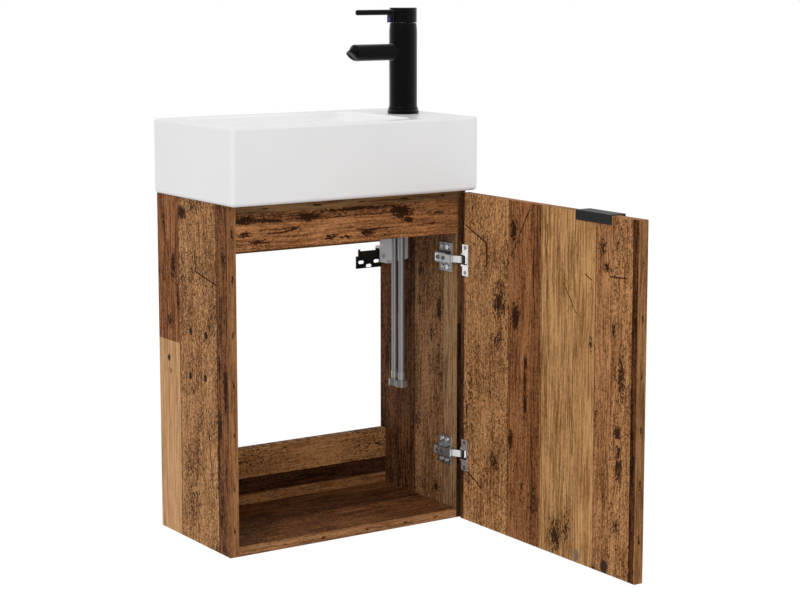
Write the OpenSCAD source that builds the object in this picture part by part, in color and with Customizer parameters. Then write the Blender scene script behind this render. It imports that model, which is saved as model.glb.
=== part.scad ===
// Wall-hung washbasin cabinet: boards, one hinged door, ceramic basin, single-lever tap, two supply hoses.
// Millimetres. x runs right, y is 0 at the wall and negative to the front, z runs up.
// The origin lies on the wall plane, centred, at the height of the outer fixing slots.

/* [Cabinet] */
// outside width of the cabinet
cab_w = 428; // [380:1:520]
// depth from the wall to the front edges
cab_d = 222; // [205:1:300]
// height of the side panels
cab_h = 530; // [500:1:620]
// thickness of every board
board = 15; // [15:1:19]
// height of the front rail below the top stretcher
front_rail_h = 54; // [40:1:70]
// height of the lower rear rail
rear_rail_h = 92.5; // [60:0.5:120]
// height of the upper rear rail
rear_top_h = 90; // [60:1:120]
// depth of the two flat top stretchers
stretcher_d = 60; // [45:1:80]

/* [Basin] */
// how far the basin passes each side of the cabinet
basin_side = 5.5; // [2:0.5:10]
// how far the basin passes the front edges
basin_front = 27; // [26:0.5:40]
// height of the basin
basin_h = 115; // [90:1:140]
// depth of the bowl
bowl_deep = 87; // [60:1:95]
// thickness of the basin's outer walls below the bowl
basin_wall = 12; // [9:0.5:14]
// rim between the basin's left side and the bowl
bowl_left = 24.5; // [18:0.5:40]
// rim between the basin's front and the bowl
bowl_front = 20; // [16:0.5:30]
// distance of the tap axis from the bowl's right end
tap_bowl = 45.3; // [44:0.1:70]
// front-to-back length of the bowl
bowl_d = 204; // [160:1:215]
// drain hole diameter
drain_d = 45; // [40:1:50]
// tap hole diameter
tap_hole_d = 35; // [33:0.5:38]

/* [Tap] */
// distance of the tap axis from the basin's right side
tap_in = 58.2; // [50:0.5:80]
// distance of the tap axis from the wall
tap_from_wall = 124.5; // [90:0.5:150]
// diameter of the tap body
tap_d = 44.4; // [38:0.2:50]
// height of the spout axis above the deck
spout_z = 97.7; // [80:0.5:105]
// reach of the spout from the tap axis
spout_reach = 95; // [80:1:130]
// reach of the lever from the tap axis
lever_reach = 87.8; // [60:0.1:120]
// angle of the tap handle about the tap axis
tap_turn = 0; // [-45:1:45]
// lift of the lever
tap_lift = 0; // [0:1:15]

/* [Hoses] */
// outside diameter of the supply hoses
hose_d = 10; // [8:0.5:12]
// height of the nuts' lower ends above the underside
hose_end_z = 203; // [120:1:320]

/* [Door] */
// gap between the closed door and the cabinet's front edges
door_gap = 2; // [1.5:0.1:3]
// door's lower edge above the underside
door_low = 2; // [0:0.5:6]
// door's upper edge below the basin
door_top_gap = 4; // [3.5:0.5:8]
// turn of the door from standing open at a right angle
door_turn = 0; // [-90:1:5]
// distance of the handle from the door's free edge
handle_in = 61.8; // [20:0.1:150]
// length of the handle
handle_len = 80.4; // [60:1:140]

/* [Hinges] */
// height of the lower hinge's centre
hinge_low = 107; // [80:1:140]
// distance of the upper hinge's centre below the cabinet's top
hinge_down = 110; // [94:1:150]

/* [Hangers] */
// distance of the outer wall slots below the cabinet's top
fix_down = 139.3; // [130:0.1:180]
// distance of the outer wall slots from the cabinet's inside faces
slot_in = 9.2; // [9:0.1:11]
// height of the hanger's fixing screws above the slots
hang_screw = 50.3; // [46:0.1:54]

/* [Hidden] */
$fn = 64;
in_x = cab_w / 2 - board;
front_y = -cab_d;
low_top = board;
rail_top = cab_h - board;
rail_low = rail_top - front_rail_h;
rear_low = rail_top - rear_top_h;
basin_w = cab_w + 2 * basin_side;
basin_d = cab_d + basin_front;
deck_z = cab_h + basin_h;
tap_x = basin_w / 2 - tap_in;
bowl_x = -basin_w / 2 + bowl_left;
bowl_w = tap_x - tap_bowl - bowl_x;
bowl_y = -basin_d + bowl_front;
bowl_z = deck_z - bowl_deep;
deck_t = 18;
seat = 6;
tap_y = -tap_from_wall;
tap_r = tap_d / 2;
lift_z = 130;
pole_in = 2.9;
pole_out = 14.5;
pole_x = cab_w / 2 - pole_in;
pole_y = front_y - pole_out;
door_x = pole_x - (pole_out - door_gap);
door_y = pole_y + pole_in;
door_w = cab_w;
door_h = cab_h - door_low - door_top_gap;
door_top = door_low + door_h;
handle_u = door_w - handle_in - handle_len;
hinge_high = cab_h - hinge_down;
hinge_y = front_y + 37;
hinge_y2 = front_y + 23;
hook_z = 22.3;
hook_t = 4;
hook_w = 6;
link_x = in_x - 9;
link_y = front_y + 4.9;
link_a = -62;
link_ratio = -0.3156;
cup_u = 17.1;
cup_half = 7.6;
cup_screw = 20;
fix_z = cab_h - fix_down;
plate_x = in_x - slot_in;
cam_in = 24;
ferr_z = hose_end_z + 10.5;
steel = [0.62, 0.63, 0.65];
bright = [0.86, 0.86, 0.87];
black = [0.05, 0.05, 0.055];
oak = [0.55, 0.40, 0.25];
dark_oak = [0.36, 0.24, 0.16];
grey_hose = [0.55, 0.56, 0.57];

// cabinet joinery: [end side, y, z, kind], kind 0 a flat board, 1 the front rail, 2 a rear board
CAMS = [
  [1, -40, board / 2, 0], [-1, -40, board / 2, 0],
  [1, front_y + 37, board / 2, 0], [-1, front_y + 37, board / 2, 0],
  [1, front_y + 30, cab_h - board / 2, 0], [-1, front_y + 30, cab_h - board / 2, 0],
  [1, -30, cab_h - board / 2, 0], [-1, -30, cab_h - board / 2, 0],
  [1, front_y + board / 2, rail_low + 27, 1], [-1, front_y + board / 2, rail_low + 27, 1],
  [1, -board / 2, low_top + 22, 2], [-1, -board / 2, low_top + 22, 2],
  [1, -board / 2, low_top + 72, 2], [-1, -board / 2, low_top + 72, 2],
  [1, -board / 2, rear_low + 20, 2], [-1, -board / 2, rear_low + 20, 2],
  [1, -board / 2, rail_top - 20, 2], [-1, -board / 2, rail_top - 20, 2]
];

// the two adjusting screws in each hanger, [y, height above the slots]
ADJUST = [[-30, 11.3], [-62, 24.3]];

module low() translate([0, 0, -fix_z]) children();

// plate drawn in (y, z), thickened along x from x0
module yz(x0, t) translate([x0, 0, 0]) rotate([90, 0, 90]) linear_extrude(t) children();

// bar along x
module bar_x(x0, x1, y, z, r) translate([x0, y, z]) rotate([0, 90, 0]) cylinder(r = r, h = x1 - x0);

// bar along y
module bar_y(y0, y1, x, z, r) translate([x, y0, z]) rotate([-90, 0, 0]) cylinder(r = r, h = y1 - y0);

// bar along z
module bar_z(z0, z1, x, y, r) translate([x, y, z0]) cylinder(r = r, h = z1 - z0);

// the door's own axes: u from its hinge edge, v into its thickness from the inner face
module on_door()
  low() translate([pole_x, pole_y, 0]) rotate(door_turn) translate([-pole_x, -pole_y, 0])
    translate([door_x, door_y, 0]) rotate(-90) children();

// the hinge link's own axes: x along it from the arm's pin
module on_link()
  low() translate([link_x, link_y, 0]) rotate(link_a + link_ratio * door_turn) children();

// the tap's axes on the deck
module at_tap() low() translate([tap_x, tap_y, deck_z]) children();
module at_turn() at_tap() rotate(tap_turn) children();
module at_lift()
  at_turn() translate([0, 0, lift_z]) rotate([0, tap_lift, 0]) translate([0, 0, -lift_z]) children();

// a rounded upright slab's outline along one edge
module edge_line(back, rc, h, rb, rt, flare) {
  difference() {
    translate([-back, 0]) square([rc + back, h]);
    if (rb > 0)
      translate([rc - rb, 0]) difference() {
        translate([0, -1]) square([rb + 1, rb + 1]);
        translate([0, rb]) circle(r = rb);
      }
    if (rt > 0)
      translate([rc - rt, h - rt]) difference() {
        square([rt + 1, rt + 1]);
        circle(r = rt);
      }
  }
  if (flare > 0)
    translate([rc - 0.01, h - flare]) difference() {
      square([flare + 0.01, flare + 1]);
      translate([flare + 0.01, 0]) circle(r = flare);
    }
}

// slab with rounded upright corners rc, lower edges rb and upper edges rt
module slab(w, d, h, rc, rb, rt, flare = 0) {
  translate([rc, rc, 0]) cube([w - 2 * rc, d - 2 * rc, h + (flare > 0 ? 1 : 0)]);
  translate([w - rc, rc, 0]) rotate([90, 0, 0]) mirror([0, 0, 1]) linear_extrude(d - 2 * rc)
    edge_line(1, rc, h, rb, rt, flare);
  translate([rc, rc, 0]) rotate([90, 0, 180]) linear_extrude(d - 2 * rc)
    edge_line(1, rc, h, rb, rt, flare);
  translate([rc, d - rc, 0]) rotate([90, 0, 90]) linear_extrude(w - 2 * rc)
    edge_line(1, rc, h, rb, rt, flare);
  translate([rc, rc, 0]) rotate([90, 0, -90]) mirror([0, 0, 1]) linear_extrude(w - 2 * rc)
    edge_line(1, rc, h, rb, rt, flare);
  for (c = [[w - rc, d - rc, 0], [rc, d - rc, 90], [rc, rc, 180], [w - rc, rc, 270]])
    translate([c[0], c[1], 0]) rotate(c[2]) rotate_extrude(angle = 90)
      edge_line(0, rc, h, rb, rt, flare);
}

module cam_bolt_bores(side)
  for (c = CAMS)
    if (c[0] == side)
      bar_x(side > 0 ? in_x - 1 : -in_x - 11, side > 0 ? in_x + 11 : -in_x + 1, c[1], c[2], 3.1);

module side_panel(side)
  difference() {
    translate([side > 0 ? in_x : -in_x - board, front_y, 0]) cube([board, cab_d, cab_h]);
    cam_bolt_bores(side);
    for (y = [-46, -72])
      bar_x(side > 0 ? in_x - 1 : -in_x - 10.5, side > 0 ? in_x + 10.5 : -in_x + 1,
            y, fix_z + hang_screw, 2.1);
  }

// bores in a board's ends and the cam seats, for the cams whose y and z lie in the board
module cam_cuts(y0, y1, z0, z1)
  for (c = CAMS)
    if (c[1] > y0 && c[1] < y1 && c[2] > z0 && c[2] < z1) {
      bar_x(c[0] > 0 ? in_x - cam_in : -in_x - 1, c[0] > 0 ? in_x + 1 : -in_x + cam_in, c[1], c[2], 4);
      cam_body(c, 7.6, 12.5, 1);
    }

module cam_body(c, r, h, out) {
  x = c[0] * (in_x - cam_in);
  if (c[3] == 0) bar_z(c[2] - board / 2 - out, c[2] - board / 2 + h, x, c[1], r);
  if (c[3] == 1) bar_y(c[1] + board / 2 - h, c[1] + board / 2 + out, x, c[2], r);
  if (c[3] == 2) bar_y(c[1] + board / 2 - h, c[1] + board / 2 + out, x, c[2], r);
}

module left_side_panel() color(oak) low() side_panel(-1);

module right_side_panel() color(oak) low()
  difference() {
    side_panel(1);
    for (hz = [hinge_low, hinge_high], dz = [-16, 16], y = [hinge_y, hinge_y2])
      bar_x(in_x - 1, in_x + 10.5, y, hz + dz, 2.1);
  }

module bottom_panel() color(dark_oak) low()
  difference() {
    translate([-in_x, front_y, 0]) cube([2 * in_x, cab_d, board]);
    cam_cuts(front_y, 0, 0, board);
  }

module front_top_stretcher() color(dark_oak) low()
  difference() {
    translate([-in_x, front_y, rail_top]) cube([2 * in_x, stretcher_d, board]);
    cam_cuts(front_y, front_y + stretcher_d, rail_top, cab_h);
  }

module rear_top_stretcher() color(dark_oak) low()
  difference() {
    translate([-in_x, -stretcher_d, rail_top]) cube([2 * in_x, stretcher_d, board]);
    cam_cuts(-stretcher_d, 0, rail_top, cab_h);
  }

module front_top_rail() color(dark_oak) low()
  difference() {
    translate([-in_x, front_y, rail_low]) cube([2 * in_x, board, front_rail_h]);
    cam_cuts(front_y, front_y + board, rail_low, rail_top);
  }

module rear_top_rail() color(oak) low()
  difference() {
    translate([-in_x, -board, rear_low]) cube([2 * in_x, board, rail_top - rear_low]);
    cam_cuts(-board, 0, rear_low, rail_top);
  }

module rear_bottom_rail() color(oak) low()
  difference() {
    translate([-in_x, -board, low_top]) cube([2 * in_x, board, rear_rail_h]);
    cam_cuts(-board, 0, low_top, low_top + rear_rail_h);
  }

module cam_locks() color(steel) low()
  for (c = CAMS)
    difference() {
      cam_body(c, 7.5, 12.5, 0);
      bar_x(c[0] > 0 ? in_x - cam_in - 2 : -in_x + cam_in - 8.5,
            c[0] > 0 ? in_x - cam_in + 8.5 : -in_x + cam_in + 2, c[1], c[2], 3.7);
    }

module cam_bolts() color(steel) low()
  for (c = CAMS)
    mirror([c[0] > 0 ? 0 : 1, 0, 0]) {
      bar_x(in_x - cam_in + 1, in_x + 11, c[1], c[2], 3);
      bar_x(in_x - cam_in - 2, in_x - cam_in + 1, c[1], c[2], 3.5);
    }

module basin() color([0.95, 0.95, 0.94]) low()
  difference() {
    translate([-basin_w / 2, -basin_d, cab_h]) slab(basin_w, basin_d, basin_h, 7, 6, 4);
    translate([bowl_x, bowl_y, bowl_z]) slab(bowl_w, bowl_d, bowl_deep, 30, 25, 0, 3);
    translate([-basin_w / 2 + basin_wall, front_y + seat, cab_h - 1])
      slab(basin_w - 2 * basin_wall, cab_d - seat - basin_wall, bowl_z - cab_h - 11, 8, 0, 4);
    translate([bowl_x + bowl_w + 13, front_y + seat, cab_h - 1])
      slab(basin_w / 2 - basin_wall - bowl_x - bowl_w - 13, cab_d - seat - basin_wall,
           basin_h - deck_t + 1, 8, 0, 4);
    bar_z(cab_h, bowl_z + 1, bowl_x + bowl_w / 2, bowl_y + bowl_d / 2, drain_d / 2);
    bar_z(bowl_z - 2, bowl_z + 1, bowl_x + bowl_w / 2, bowl_y + bowl_d / 2, drain_d / 2 + 9);
    bar_z(cab_h, deck_z + 1, tap_x, tap_y, tap_hole_d / 2);
  }

// the aerator's axes: z points out of the spout's tip, 45 degrees down
module at_tip() translate([-spout_reach - 0.6, 0, spout_z - 3.9]) rotate([0, -135, 0]) children();

module tap_body() color(black) at_tap()
  difference() {
    union() {
      rotate_extrude() polygon([
        [0, 1], [tap_r + 2.6, 1], [tap_r + 3, 1.5], [tap_r + 3, 4.6], [tap_r + 2.4, 5.4],
        [tap_r + 1.6, 5.8], [tap_r + 1.4, 9], [tap_r + 0.5, 11], [tap_r, 12.5],
        [tap_r, lift_z], [tap_r - 0.3, lift_z + 5], [tap_r - 0.7, lift_z + 9],
        [tap_r - 1.1, lift_z + 12], [tap_r - 2.4, lift_z + 13.3], [0, lift_z + 13.3]
      ]);
      difference() {
        translate([0, 0, spout_z]) rotate([0, -90, 0]) rotate_extrude() difference() {
          square([13, spout_reach]);
          translate([9, spout_reach - 4]) difference() {
            square([5, 5]);
            circle(r = 4);
          }
        }
        at_tip() translate([-30, -30, 0]) cube([60, 60, 30]);
      }
      at_tip() translate([0, 0, -10.5]) cylinder(r = 9.3, h = 10.5);
      bar_x(-tap_r - 2.8, -10, 0, spout_z, 13.6);
    }
    bar_z(lift_z - 30, lift_z + 20, 0, 0, 15.05);
    bar_z(30, 80, 0, 0, 15);
    bar_x(-spout_reach + 9, 0, 0, spout_z, 8);
    at_tip() translate([0, 0, -10]) cylinder(r = 7.5, h = 12);
    bar_z(spout_z, lift_z - 29, 0, 0, 6);
    for (s = [-1, 1]) bar_z(0, 13, -1, 6 * s, 4.95);
    bar_z(0, 14, 10, 0, 4);
  }

module tap_gasket() color(black) at_tap()
  difference() {
    bar_z(0, 1, 0, 0, tap_r + 2.4);
    bar_z(-1, 2, 0, 0, tap_hole_d / 2 - 1);
  }

module tap_cartridge() color([0.85, 0.85, 0.83]) at_tap()
  difference() {
    bar_z(lift_z - 30, lift_z + 6, 0, 0, 15);
    bar_z(lift_z - 26, lift_z + 7, 0, 0, 12.05);
    bar_z(lift_z - 31, lift_z - 25, 0, 0, 5);
  }

module tap_spindle() color([0.80, 0.79, 0.72]) at_turn()
  difference() {
    bar_z(lift_z - 25.7, lift_z + 7, 0, 0, 12);
    translate([-13, -4.3, lift_z - 8]) cube([26, 8.6, 20]);
    bar_y(-12.5, 12.5, 0, lift_z, 2.02);
  }

module tap_lift_pin() color(steel) at_turn() bar_y(-11.6, 11.6, 0, lift_z, 2);

module tap_stem() color(steel) at_lift()
  difference() {
    translate([-4, -4, lift_z - 6]) cube([8, 8, 36]);
    bar_y(-5, 5, 0, lift_z, 2.06);
  }

module tap_cap() color(black) at_lift()
  difference() {
    union() {
      rotate_extrude() polygon([
        [0, lift_z + 14], [tap_r - 0.5, lift_z + 14], [tap_r - 0.5, lift_z + 32.6],
        [tap_r - 0.9, lift_z + 32.9], [tap_r - 0.9, lift_z + 33.3],
        [tap_r - 0.5, lift_z + 33.6], [tap_r - 0.5, lift_z + 36.4],
        [tap_r - 1.2, lift_z + 37.1], [0, lift_z + 37.1]
      ]);
      translate([-tap_r - 4.2, -6, lift_z + 14]) cube([14, 12, 19]);
      bar_z(lift_z + 14, lift_z + 33, -tap_r - 2.2, -5.4, 2);
      bar_z(lift_z + 14, lift_z + 33, -tap_r - 2.2, 5.4, 2);
    }
    bar_z(lift_z + 13, lift_z + 20.5, 0, 0, tap_r - 1.8);
    translate([-4.1, -4.1, lift_z + 20]) cube([8.2, 8.2, 10]);
    bar_x(-tap_r - 6, -14, 0, lift_z + 30, 4.35);
    bar_x(4, tap_r + 2, 0, lift_z + 26, 2.1);
  }

module tap_lever() color(black) at_lift()
  translate([-14, 0, lift_z + 30]) rotate([0, -90, 0]) rotate_extrude() difference() {
    square([4.3, lever_reach - 14]);
    translate([2.3, lever_reach - 16]) difference() {
      square([3, 3]);
      circle(r = 2);
    }
  }

module tap_grub_screw() color(steel) at_lift()
  difference() {
    bar_x(4, 11, 0, lift_z + 26, 2);
    translate([8, 0, lift_z + 26]) rotate([0, 90, 0]) cylinder(d = 2.3, h = 4, $fn = 6);
  }

module tap_indicator() color([0.28, 0.24, 0.62]) at_lift()
  bar_x(-tap_r - 5, -tap_r - 4.2, 0, lift_z + 19.7, 4.2);

module tap_aerator() color([0.30, 0.30, 0.32]) at_tap() at_tip()
  difference() {
    cylinder(r = 10, h = 2.4);
    translate([0, 0, 1.2]) cylinder(r = 7.6, h = 2);
    for (a = [0:60:300]) rotate(a) translate([4.2, 0, -1]) cylinder(r = 1.2, h = 4);
    translate([0, 0, -1]) cylinder(r = 1.2, h = 4);
  }

module tap_stud() color([0.78, 0.64, 0.36]) at_tap() bar_z(-deck_t - 30, 14, 10, 0, 3.9);

module tap_washer() color(steel) at_tap()
  difference() {
    bar_z(-deck_t - 3, -deck_t, 0, 0, tap_hole_d / 2 + 5.5);
    translate([-30, -12, -deck_t - 4]) cube([35.5, 24, 5]);
    bar_z(-deck_t - 4, 0, 10, 0, 4.1);
  }

module tap_nut() color([0.78, 0.64, 0.36]) at_tap()
  difference() {
    translate([10, 0, -deck_t - 13]) cylinder(r = 13 / sqrt(3), h = 10, $fn = 6);
    bar_z(-deck_t - 14, 0, 10, 0, 4);
  }

// the hose's line at t from 0 to 1 of its drift, which the front rail hides
function hose_at(t, dx, dy, z0, drop) =
  [dx * (1 - cos(180 * t)) / 2, dy * (1 - cos(180 * t)) / 2, z0 - drop * t];

module hose_disc(p) translate(p) cylinder(d = hose_d, h = 0.4, $fn = 48);

// s is the y offset at the tap, dx and dy the drift lower down
module hose_tube(s, dx, dy) {
  line = [
    [0, 0, deck_z - 33.4], for (i = [0:4]) hose_at(i / 4, dx, dy, deck_z - 55, 110),
    [dx, dy, ferr_z + 4]
  ];
  translate([tap_x - 1, tap_y + s, 0])
    for (i = [0:len(line) - 2])
      hull() {
        hose_disc(line[i]);
        hose_disc(line[i + 1]);
      }
}

module hose_tail(s) at_tap() translate([-1, s, 0]) {
  bar_z(-33, 13, 0, 0, 4.8);
  difference() {
    bar_z(-50, -31, 0, 0, hose_d / 2 + 0.7);
    bar_z(-51, -33, 0, 0, hose_d / 2 + 0.03);
  }
}

module hose_ferrule(x, y) low() {
  difference() {
    bar_z(ferr_z + 4, ferr_z + 13, x, y, hose_d / 2 + 0.8);
    bar_z(ferr_z + 4, ferr_z + 14, x, y, hose_d / 2 + 0.03);
  }
  difference() {
    union() {
      bar_z(ferr_z - 2, ferr_z + 4, x, y, 5);
      bar_z(ferr_z + 2.5, ferr_z + 4, x, y, hose_d / 2 + 0.8);
      bar_z(ferr_z - 3.5, ferr_z - 2, x, y, 7.4);
    }
    bar_z(ferr_z - 4, ferr_z + 2, x, y, 3);
  }
}

module hose_nut(x, y) low()
  difference() {
    translate([x, y, hose_end_z]) intersection() {
      cylinder(r = 18.6 / sqrt(3), h = ferr_z - hose_end_z, $fn = 6);
      cylinder(r = 10.3, h = ferr_z - hose_end_z);
    }
    bar_z(hose_end_z - 1, ferr_z - 3.9, x, y, 8.3);
    bar_z(ferr_z - 4, ferr_z - 2, x, y, 8.7);
    bar_z(hose_end_z, ferr_z + 1, x, y, 5.1);
  }

module hose_front_tube() color(grey_hose) low() hose_tube(-6, -5, 1.6);
module hose_front_tail() color(steel) hose_tail(-6);
module hose_front_ferrule() color(steel) hose_ferrule(tap_x - 6, tap_y - 4.4);
module hose_front_nut() color([0.25, 0.25, 0.26]) hose_nut(tap_x - 6, tap_y - 4.4);
module hose_rear_tube() color(grey_hose) low() hose_tube(6, -5, 9.6);
module hose_rear_tail() color(steel) hose_tail(6);
module hose_rear_ferrule() color(steel) hose_ferrule(tap_x - 6, tap_y + 15.6);
module hose_rear_nut() color([0.25, 0.25, 0.26]) hose_nut(tap_x - 6, tap_y + 15.6);

// a cup's form, open past the door's hinge edge, with two rounded corners at its inner end
module cup_form(end, half, rc, deep) {
  translate([0, 0, -half]) cube([end - rc, deep, 2 * half]);
  translate([0, 0, rc - half]) cube([end, deep, 2 * (half - rc)]);
  for (s = [-1, 1]) bar_y(0, deep, end - rc, s * (half - rc), rc);
}

module door_panel() color(oak) on_door()
  difference() {
    translate([0, 0, door_low]) cube([door_w, board, door_h]);
    for (hz = [hinge_low, hinge_high]) {
      translate([-1, -1, hz]) cup_form(cup_u + 2, cup_half + 1, 4, 12.2);
      for (dz = [-cup_screw, cup_screw]) bar_y(-1, 11.5, 11.5, hz + dz, 1.8);
    }
    for (u = [20, handle_len - 20]) bar_y(-1, 11.2, handle_u + u, door_top - 7, 1.6);
  }

module door_handle() color([0.13, 0.13, 0.14]) on_door()
  translate([handle_u, 0, 0]) difference() {
    union() {
      translate([0, -1.2, door_top - 13]) cube([handle_len, 1.2, 14.6]);
      translate([0, -1.2, door_top]) cube([handle_len, board + 11.7, 1.6]);
      translate([0, board + 9, door_top - 12]) cube([handle_len, 1.5, 13]);
    }
    for (u = [20, handle_len - 20]) bar_y(-2, 0.5, u, door_top - 7, 2.9);
  }

module handle_screws() color([0.2, 0.2, 0.21]) on_door()
  for (u = [20, handle_len - 20])
    difference() {
      union() {
        bar_y(-1.2, 0, handle_u + u, door_top - 7, 2.8);
        bar_y(-0.5, 11.2, handle_u + u, door_top - 7, 1.5);
      }
      translate([handle_u + u, -1.2, door_top - 7]) cube([3.4, 1.2, 0.9], center = true);
      translate([handle_u + u, -1.2, door_top - 7]) cube([0.9, 1.2, 3.4], center = true);
    }

module hinge_plate(hz) color(steel) low()
  difference() {
    union() {
      translate([in_x - 2.5, front_y + 13.1, hz - 23]) cube([2.5, 32.7, 46]);
      translate([in_x - 12.8, front_y + 16, hz - 7]) cube([12.8, 26, 14]);
    }
    for (dz = [-16, 16], y = [hinge_y, hinge_y2]) bar_x(in_x - 3, in_x + 1, y, hz + dz, 2.3);
    for (y = [front_y + 34, front_y + 20]) bar_x(in_x - 13, in_x - 3, y, hz, 2.1);
  }

module hinge_plate_upper() hinge_plate(hinge_high);
module hinge_plate_lower() hinge_plate(hinge_low);

module cross_screw(x, y, z, head_r, head_t, r, len)
  difference() {
    union() {
      bar_x(x - head_t, x, y, z, head_r);
      bar_x(x - 0.5, x + len, y, z, r);
    }
    translate([x - head_t, y, z]) cube([1.6, head_r * 1.3, 0.9], center = true);
    translate([x - head_t, y, z]) cube([1.6, 0.9, head_r * 1.3], center = true);
  }

module hinge_plate_screws() color(steel) low()
  for (hz = [hinge_low, hinge_high], dz = [-16, 16], y = [hinge_y, hinge_y2])
    cross_screw(in_x - 2.5, y, hz + dz, 3.6, 2, 2, 13);

module hinge_arm(hz) color(bright) low()
  difference() {
    union() {
      translate([in_x - 14, front_y + 13, hz - 8.3]) cube([1.2, 29, 16.6]);
      translate([in_x - 14, front_y + 0.3, hz - 6.8]) cube([1.2, 14, 13.6]);
      for (s = [-1, 1]) {
        translate([in_x - 14, front_y + 13, hz + s * 7.7 - 0.6]) cube([11, 29, 1.2]);
        translate([in_x - 14, front_y + 0.3, hz + s * 6.25 - 0.55]) cube([8.5, 14, 1.1]);
        translate([in_x - 14, front_y + 13, hz + s * 7 - 1.3]) cube([8.5, 1.2, 2.6]);
      }
    }
    bar_x(in_x - 15, in_x - 12, front_y + 34, hz, 2.3);
    bar_x(in_x - 15, in_x - 12, front_y + 20, hz, 2.3);
    bar_z(hz - 8, hz + 8, link_x, link_y, 1.52);
  }

module hinge_arm_upper() hinge_arm(hinge_high);
module hinge_arm_lower() hinge_arm(hinge_low);

module hinge_arm_screws() color(steel) low()
  for (hz = [hinge_low, hinge_high], y = [front_y + 34, front_y + 20])
    cross_screw(in_x - 14, y, hz, 3.4, 1.4, 2, 9);

module hinge_link(hz) color(bright) on_link() translate([0, 0, hz])
  difference() {
    union() {
      bar_z(-5.4, 5.4, 0, 0, 2.6);
      translate([0, -0.6, -5.4]) cube([24, 1.2, 10.8]);
      bar_z(-5.4, 5.4, 24, 0, 1.5);
    }
    bar_z(-6, 6, 0, 0, 1.56);
  }

module hinge_link_upper() hinge_link(hinge_high);
module hinge_link_lower() hinge_link(hinge_low);

module hinge_pins() color(steel) low()
  for (hz = [hinge_low, hinge_high]) bar_z(hz - 7.2, hz + 7.2, link_x, link_y, 1.5);

module hinge_cup(hz) color(steel) on_door() translate([0, 0, hz])
  difference() {
    union() {
      intersection() {
        translate([-1, 0, 0]) cup_form(cup_u + 1.8, cup_half + 0.8, 3.8, 11);
        translate([0.2, -1, -20]) cube([30, 20, 40]);
      }
      translate([3.9, -1.2, -24.8]) cube([15.2, 1.2, 49.6]);
      translate([0.2, -1.2, -10.5]) cube([3.8, 1.2, 21]);
    }
    translate([-1, -2, 0]) cup_form(cup_u + 1, cup_half, 3, 12);
    for (dz = [-cup_screw, cup_screw]) bar_y(-2, 1, 11.5, dz, 3.6);
  }

module hinge_cup_upper() hinge_cup(hinge_high);
module hinge_cup_lower() hinge_cup(hinge_low);

module hinge_cup_screws() color(steel) on_door()
  for (hz = [hinge_low, hinge_high], dz = [-cup_screw, cup_screw])
    difference() {
      union() {
        bar_y(-1.2, 0, 11.5, hz + dz, 3.5);
        bar_y(-0.5, 11.5, 11.5, hz + dz, 1.7);
      }
      translate([11.5, -1.2, hz + dz]) cube([4, 1.2, 0.9], center = true);
      translate([11.5, -1.2, hz + dz]) cube([0.9, 1.2, 4], center = true);
    }

module both(side) mirror([side > 0 ? 0 : 1, 0, 0]) children();

// the hanger's pieces are drawn from the slots' height, which is the origin's
module hanger_box(side) color(steel) both(side)
  difference() {
    union() {
      difference() {
        yz(in_x - 12, 12) polygon([[-16, 0.3], [-38, 0.3], [-38, 6.3], [-60, 6.3],
          [-83, 13.3], [-83, 61.3], [-16, 61.3]]);
        yz(in_x - 10.8, 12) polygon([[-17.2, 1.5], [-36.8, 1.5], [-36.8, 7.5],
          [-59.8, 7.5], [-81.8, 14.2], [-81.8, 60.1], [-17.2, 60.1]]);
      }
      for (y = [-46, -72]) bar_x(in_x - 11, in_x, y, hang_screw, 5);
    }
    for (y = [-46, -72]) bar_x(in_x - 13, in_x + 1, y, hang_screw, 2.3);
    for (p = ADJUST) bar_x(in_x - 13, in_x - 10, p[0], p[1], 2.6);
    translate([in_x - 10.8, -20, hook_z - 0.4]) cube([hook_w + 0.6, 6, hook_t + 0.8]);
  }

module hanger_box_left() hanger_box(-1);
module hanger_box_right() hanger_box(1);

module hanger_hook(side) color(steel) both(side)
  yz(in_x - 10.8, hook_w) polygon([[-48, hook_z], [-48, hook_z + hook_t], [-0.8, hook_z + hook_t],
    [-0.8, hook_z - 6], [-3.2, hook_z - 6], [-3.2, hook_z]]);

module hanger_hook_left() hanger_hook(-1);
module hanger_hook_right() hanger_hook(1);

module hanger_screws() color(steel)
  for (side = [-1, 1], y = [-46, -72]) both(side)
    cross_screw(in_x - 12, y, hang_screw, 4, 1.8, 2, 22.5);

module hanger_adjusters() color(steel)
  for (side = [-1, 1], p = ADJUST) both(side)
    cross_screw(in_x - 12, p[0], p[1], 3.6, 1.4, 2.5, 7);

module slot_y(x, z, len, r) {
  translate([x - len / 2 + r, 0, z]) rotate([90, 0, 0]) cylinder(r = r, h = 5, center = true);
  translate([x + len / 2 - r, 0, z]) rotate([90, 0, 0]) cylinder(r = r, h = 5, center = true);
  translate([x - len / 2 + r, -2.5, z - r]) cube([len - 2 * r, 5, 2 * r]);
}

module wall_plate(side) color(black) both(side)
  difference() {
    union() {
      translate([plate_x - 39.8, -2, -10.3]) cube([48, 2, hook_z - 1.7]);
      translate([plate_x - 37.8, -6, hook_z - 14]) cube([44, 6, 2]);
      translate([plate_x - 37.8, -6, hook_z - 14]) cube([44, 2, 11]);
      translate([plate_x - 37.8, -6, hook_z - 4]) cube([3.4, 2, 4]);
      translate([plate_x - 3.2, -6, hook_z - 4]) cube([9.4, 2, 4]);
    }
    slot_y(plate_x, 0, 11.4, 2.85);
    slot_y(plate_x - 30, 0, 11.4, 2.85);
    slot_y(plate_x - 15, -6.7, 11.4, 2.85);
  }

module wall_plate_left() wall_plate(-1);
module wall_plate_right() wall_plate(1);

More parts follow.
